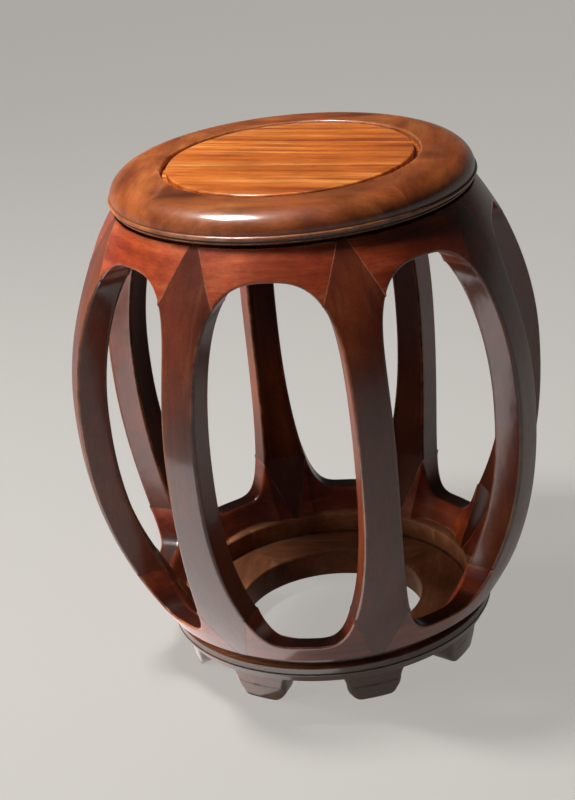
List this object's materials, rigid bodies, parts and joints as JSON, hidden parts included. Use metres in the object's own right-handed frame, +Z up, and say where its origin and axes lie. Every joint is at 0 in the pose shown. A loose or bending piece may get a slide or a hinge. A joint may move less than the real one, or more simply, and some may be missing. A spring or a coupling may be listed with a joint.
{
  "type": "drum stool",
  "caption": "Barrel-shaped wooden stool: bowed legs mitred into arched aprons, between a bullnose seat ring with a flush round panel and a moulded base ring on bracket feet",
  "frame": {"origin": "on the floor under the centre of the stool", "axes": "+Z up, a window between two legs faces each of +X, -X, +Y and -Y"},
  "size_m": [0.4192, 0.4192, 0.48],
  "materials": {
    "rosewood": "polished clear lacquer over dark red-brown rosewood",
    "rosewood_light": "polished clear lacquer over orange-red rosewood",
    "panel_wood": "polished clear lacquer over orange-brown straight-grained wood"
  },
  "bodies": {
    "root": {"leg_1": "rosewood", "leg_2": "rosewood", "leg_3": "rosewood", "leg_4": "rosewood", "leg_5": "rosewood", "leg_6": "rosewood", "leg_7": "rosewood", "leg_8": "rosewood", "foot_1": "rosewood", "foot_2": "rosewood", "foot_3": "rosewood", "foot_4": "rosewood", "foot_5": "rosewood", "foot_6": "rosewood", "foot_7": "rosewood", "foot_8": "rosewood", "seat_ring_1": "rosewood", "seat_ring_2": "rosewood", "seat_ring_3": "rosewood", "seat_ring_4": "rosewood", "base_ring_1": "rosewood", "base_ring_2": "rosewood", "base_ring_3": "rosewood", "base_ring_4": "rosewood", "panel_batten": "rosewood", "top_apron_1": "rosewood_light", "top_apron_2": "rosewood_light", "top_apron_3": "rosewood_light", "top_apron_4": "rosewood_light", "top_apron_5": "rosewood_light", "top_apron_6": "rosewood_light", "top_apron_7": "rosewood_light", "top_apron_8": "rosewood_light", "bottom_apron_1": "rosewood_light", "bottom_apron_2": "rosewood_light", "bottom_apron_3": "rosewood_light", "bottom_apron_4": "rosewood_light", "bottom_apron_5": "rosewood_light", "bottom_apron_6": "rosewood_light", "bottom_apron_7": "rosewood_light", "bottom_apron_8": "rosewood_light", "seat_panel": "panel_wood"}
  },
  "joints": []
}
